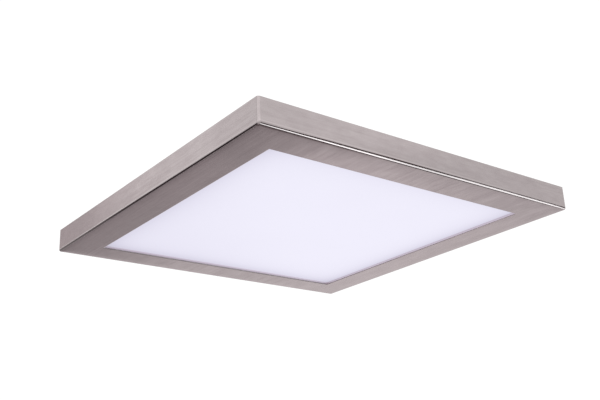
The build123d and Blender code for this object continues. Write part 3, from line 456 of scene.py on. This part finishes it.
MAT = {
    "brushed_nickel": brushed_nickel(),
    "opal_acrylic": opal_lit(),
    "clear_acrylic": clear_acrylic(),
    "white_film": plastic("white_film", (0.84, 0.84, 0.84), (0.90, 0.90, 0.90), 0.62, 2400.0, 0.08),
    "black_foam": foam("black_foam", (0.012, 0.012, 0.013), (0.035, 0.035, 0.037)),
    "white_foam": foam("white_foam", (0.62, 0.62, 0.61), (0.80, 0.80, 0.79)),
    "aluminium_rail": metal("aluminium_rail", (0.60, 0.61, 0.62), (0.74, 0.75, 0.76), 0.34, (900.0, 12.0, 900.0), 0.10),
    "white_board": plastic("white_board", (0.78, 0.78, 0.76), (0.86, 0.86, 0.84), 0.38, 1800.0, 0.08),
    "led_package": led_package(),
    "white_powder_coat": powder_coat(),
    "zinc_steel": zinc(),
    "spring_steel": metal("spring_steel", (0.20, 0.205, 0.225), (0.34, 0.345, 0.36), 0.30, (700.0, 20.0, 700.0), 0.12, (0.26, 0.22, 0.20)),
    "plated_screw": metal("plated_screw", (0.55, 0.55, 0.54), (0.72, 0.72, 0.70), 0.28, (420.0, 420.0, 420.0), 0.08, (0.44, 0.43, 0.40)),
    "green_screw": metal("green_screw", (0.015, 0.13, 0.04), (0.03, 0.22, 0.075), 0.30, (420.0, 420.0, 420.0), 0.08),
    "driver_plastic": plastic("driver_plastic", (0.62, 0.62, 0.60), (0.72, 0.72, 0.70), 0.55, 1300.0, 0.22),
    "circuit_board": circuit_board(),
    "ferrite": plastic("ferrite", (0.018, 0.017, 0.016), (0.05, 0.045, 0.040), 0.62, 1100.0, 0.25),
    "capacitor_sleeve": plastic("capacitor_sleeve", (0.012, 0.016, 0.05), (0.022, 0.028, 0.08), 0.28, 700.0, 0.06),
    "film_capacitor_yellow": plastic("film_capacitor_yellow", (0.56, 0.38, 0.03), (0.68, 0.48, 0.05), 0.40, 900.0, 0.10),
    "moulded_black": plastic("moulded_black", (0.012, 0.012, 0.013), (0.028, 0.028, 0.030), 0.55, 1500.0, 0.20),
    "terminal_nylon": plastic("terminal_nylon", (0.66, 0.65, 0.60), (0.75, 0.74, 0.69), 0.42, 1400.0, 0.12),
    "button_orange": plastic("button_orange", (0.60, 0.14, 0.008), (0.72, 0.19, 0.012), 0.36, 1500.0, 0.10),
    "contact_brass": metal("contact_brass", (0.60, 0.42, 0.16), (0.76, 0.57, 0.26), 0.28, (500.0, 60.0, 500.0), 0.08),
    "tinned_copper": metal("tinned_copper", (0.58, 0.56, 0.52), (0.72, 0.70, 0.66), 0.30, (300.0, 300.0, 300.0), 0.10, (0.52, 0.40, 0.28)),
    "wire_red": plastic("wire_red", (0.40, 0.012, 0.010), (0.50, 0.020, 0.015), 0.34, 800.0, 0.08),
    "wire_black": plastic("wire_black", (0.010, 0.010, 0.011), (0.022, 0.022, 0.024), 0.36, 800.0, 0.08),
    "wire_white": plastic("wire_white", (0.74, 0.74, 0.72), (0.82, 0.82, 0.80), 0.36, 800.0, 0.08),
    "wire_green_yellow": earth_stripe(),
    "black_rubber": plastic("black_rubber", (0.010, 0.010, 0.010), (0.026, 0.026, 0.026), 0.70, 900.0, 0.25, 0.3),
    "clip_nylon": plastic("clip_nylon", (0.70, 0.69, 0.66), (0.80, 0.79, 0.76), 0.40, 1300.0, 0.12),
}
for part in frame["record"]["subparts"]:
    mesh = N[part["node"]].data
    mesh.materials.clear()
    mesh.materials.append(MAT[part["material_slot"]])

# ------------------------------------------------------------------ stage: pale floor, soft studio light
FLOOR_Z = -0.62
bpy.ops.mesh.primitive_plane_add(size=160.0, location=(0, 0, FLOOR_Z))
floor = bpy.context.object
floor.name = "floor"
fm = Tree("floor")
fm.set(
    color=fm.colour(fm.range(fm.noise(fm.xyz(), 1.3, 3.0, 0.5), 0.3, 0.7), (0.745, 0.745, 0.745), (0.760, 0.760, 0.760)),
    rough=0.85, spec=0.1,
)
floor.data.materials.append(fm.mat)
floor.visible_glossy = False

# the studio: white above, shading to dark low down on the left and towards the front
world = bpy.data.worlds.new("studio")
scene.world = world
world.use_nodes = True
wt = world.node_tree
wt.nodes.clear()
w_out = wt.nodes.new("ShaderNodeOutputWorld")
w_bg = wt.nodes.new("ShaderNodeBackground")
w_tc = wt.nodes.new("ShaderNodeTexCoord")
w_sep = wt.nodes.new("ShaderNodeSeparateXYZ")
wt.links.new(w_tc.outputs["Generated"], w_sep.inputs[0])


def wmath(op, a, b=0.0, clamp=False):
    n = wt.nodes.new("ShaderNodeMath")
    n.operation = op
    n.use_clamp = clamp
    for s, v in zip(n.inputs, (a, b)):
        if isinstance(v, bpy.types.NodeSocket):
            wt.links.new(v, s)
        else:
            s.default_value = v
    return n.outputs[0]


def wrange(v, lo, hi, a=0.0, b=1.0):
    n = wt.nodes.new("ShaderNodeMapRange")
    n.interpolation_type = "SMOOTHSTEP"
    wt.links.new(v, n.inputs[0])
    for i, k in enumerate((lo, hi, a, b)):
        n.inputs[i + 1].default_value = k
    return n.outputs[0]


wx, wy, wz = w_sep.outputs[0], w_sep.outputs[1], w_sep.outputs[2]


def wmix(f, a, b):
    n = wt.nodes.new("ShaderNodeMix")
    n.data_type = "RGBA"
    wt.links.new(f, n.inputs[0])
    for s, v in ((n.inputs[6], a), (n.inputs[7], b)):
        if isinstance(v, bpy.types.NodeSocket):
            wt.links.new(v, s)
        else:
            s.default_value = (*v, 1.0)
    return n.outputs[2]


def wgrey(v):
    n = wt.nodes.new("ShaderNodeCombineColor")
    for i in range(3):
        wt.links.new(v, n.inputs[i])
    return n.outputs[0]


# above the horizon: a bright backdrop behind the lamp, softer walls at the left and in front
left_side = wmix(wrange(wx, -0.447, -0.386), (1.08, 1.08, 1.08), (0.32, 0.282, 0.290))
left_side = wmix(wrange(wx, -0.385, -0.360, 0.0, 0.66), left_side, (0.66, 0.593, 0.605))
left_side = wmix(wrange(wx, -0.465, -0.52, 0.0, 0.88), left_side, (0.64, 0.64, 0.64))
front_side = wmath("SUBTRACT", 0.835, wmath("MULTIPLY", wrange(wx, 0.63, 0.71), 0.160))
front_side = wmath("ADD", front_side, wmath("MULTIPLY", wrange(wx, 0.72, 0.77), 0.045))
front_side = wmath("ADD", front_side, wmath("MULTIPLY", wrange(wx, 0.48, 0.20), 0.15))
front_side = wmath("SUBTRACT", front_side, wmath("MULTIPLY", wrange(wx, 0.62, 0.54), 0.045))
sides = wmix(wrange(wy, 0.0, 0.5), wgrey(front_side), left_side)
behind = wmath("MULTIPLY", wrange(wx, -0.10, 0.12), wrange(wy, -0.10, 0.20))
above_c = wmix(behind, sides, (1.06, 1.06, 1.06))
above_c = wmix(wrange(wz, 0.60, 0.85), above_c, (0.36, 0.36, 0.37))


def toward(axis, lo, hi):
    """1 close to a direction, 0 away from it."""
    n = wt.nodes.new("ShaderNodeVectorMath")
    n.operation = "DOT_PRODUCT"
    wt.links.new(w_tc.outputs["Generated"], n.inputs[0])
    n.inputs[1].default_value = Vector(axis).normalized()
    return wrange(n.outputs["Value"], lo, hi)


# below: the pale floor, a table edge to the right and behind, dark flags beside the low strip
edge_q = wmath("ADD", wx, wmath("MULTIPLY", wz, 1.136))
table = wmix(wrange(edge_q, 0.056, 0.132), (0.263, 0.232, 0.242), (0.715, 0.681, 0.690))
table = wmix(wrange(wx, 0.645, 0.72), table, (0.645, 0.613, 0.622))
far_part = wmath("ADD", 0.20, wmath("MULTIPLY", wrange(wx, 0.60, 0.67), 0.18))
table = wmix(wmath("MULTIPLY", wrange(wz, -0.32, -0.25), far_part), table, (0.81, 0.77, 0.78))
table = wmix(wrange(wz, -0.44, -0.57, 0.0, 0.80), table, (0.050, 0.037, 0.041))
left_end = wmath("MULTIPLY", wrange(wy, 0.82, 0.88), wrange(wz, -0.36, -0.44, 0.0, 0.75))
table = wmix(left_end, table, (0.050, 0.037, 0.041))
on_table = wmath("MULTIPLY", wrange(wx, 0.02, 0.26), wrange(wy, 0.25, 0.50))
below_c = wmix(on_table, (0.690, 0.676, 0.682), table)
flag_left = wmath("MULTIPLY", toward((-0.48, 0.72, -0.50), 0.82, 0.93), wrange(wy, 0.92, 0.83, 0.45, 1.0))
below_c = wmix(flag_left, below_c, (0.030, 0.020, 0.023))
below_c = wmix(toward((0.62, -0.72, -0.28), 0.87, 0.945), below_c, (0.032, 0.016, 0.019))
below_c = wmix(toward((0.54, 0.42, -0.73), 0.94, 0.985), below_c, (0.050, 0.037, 0.041))
below_c = wmix(toward((0.56, -0.10, -0.82), 0.86, 0.93), below_c, (0.050, 0.037, 0.041))
deep = wmath("MULTIPLY", wrange(wz, -0.56, -0.68), wmath("MULTIPLY", wrange(wy, 0.40, 0.54), wrange(wy, 0.74, 0.66)))
below_c = wmix(deep, below_c, (0.56, 0.51, 0.53))
sky = wmix(wrange(wz, -0.04, 0.01), below_c, above_c)
sky = wmix(toward((0.655, -0.755, 0.0), 0.965, 0.995), sky, (0.060, 0.036, 0.041))
# straight behind everything, a plain white backdrop that runs into the floor
w_path = wt.nodes.new("ShaderNodeLightPath")
backdrop = wmix(wrange(wz, -0.005, 0.11), (0.79, 0.79, 0.79), (1.06, 1.06, 1.06))
sky = wmix(w_path.outputs["Is Camera Ray"], sky, backdrop)
wt.links.new(sky, w_bg.inputs["Color"])
w_bg.inputs["Strength"].default_value = 1.0
wt.links.new(w_bg.outputs[0], w_out.inputs[0])


def softbox(name, at, look, size, power, along=(0.0, 0.0, 1.0), colour=(1.0, 1.0, 1.0)):
    """A rectangular soft light; its second side runs along the given direction."""
    data = bpy.data.lights.new(name, "AREA")
    data.shape = "RECTANGLE"
    data.size, data.size_y = size
    data.energy = power
    data.color = colour
    o = bpy.data.objects.new(name, data)
    scene.collection.objects.link(o)
    o.location = at
    z = (Vector(at) - Vector(look)).normalized()
    y = Vector(along)
    y = (y - y.dot(z) * z).normalized()
    x = y.cross(z)
    o.rotation_mode = "QUATERNION"
    o.rotation_quaternion = Matrix((x, y, z)).transposed().to_quaternion()
    o.visible_camera = False
    return o


# long low strip along the front: the bright line on the right lower fold; it leaves the floor alone
low_strip = softbox("low_strip", (0.460, -0.461, -0.502), (0.0, -0.15, -0.02), (0.48, 0.56), 1.61, along=(0.93, -0.03, 0.42), colour=(0.93, 1.0, 0.995))
unlit = bpy.data.collections.new("away_from_low_strip")
unlit.objects.link(floor)
unlit.collection_objects[0].light_linking.link_state = "EXCLUDE"
low_strip.light_linking.receiver_collection = unlit
# soft key from high up, on the side away from the photograph's: shapes the back of the lamp
key_data = bpy.data.lights.new("high_key", "SUN")
key_data.energy = 1.7
key_data.angle = math.radians(16.0)
key = bpy.data.objects.new("high_key", key_data)
scene.collection.objects.link(key)
key.rotation_mode = "QUATERNION"
key.rotation_quaternion = Vector((0.60, 0.30, 0.74)).to_track_quat("Z", "Y")
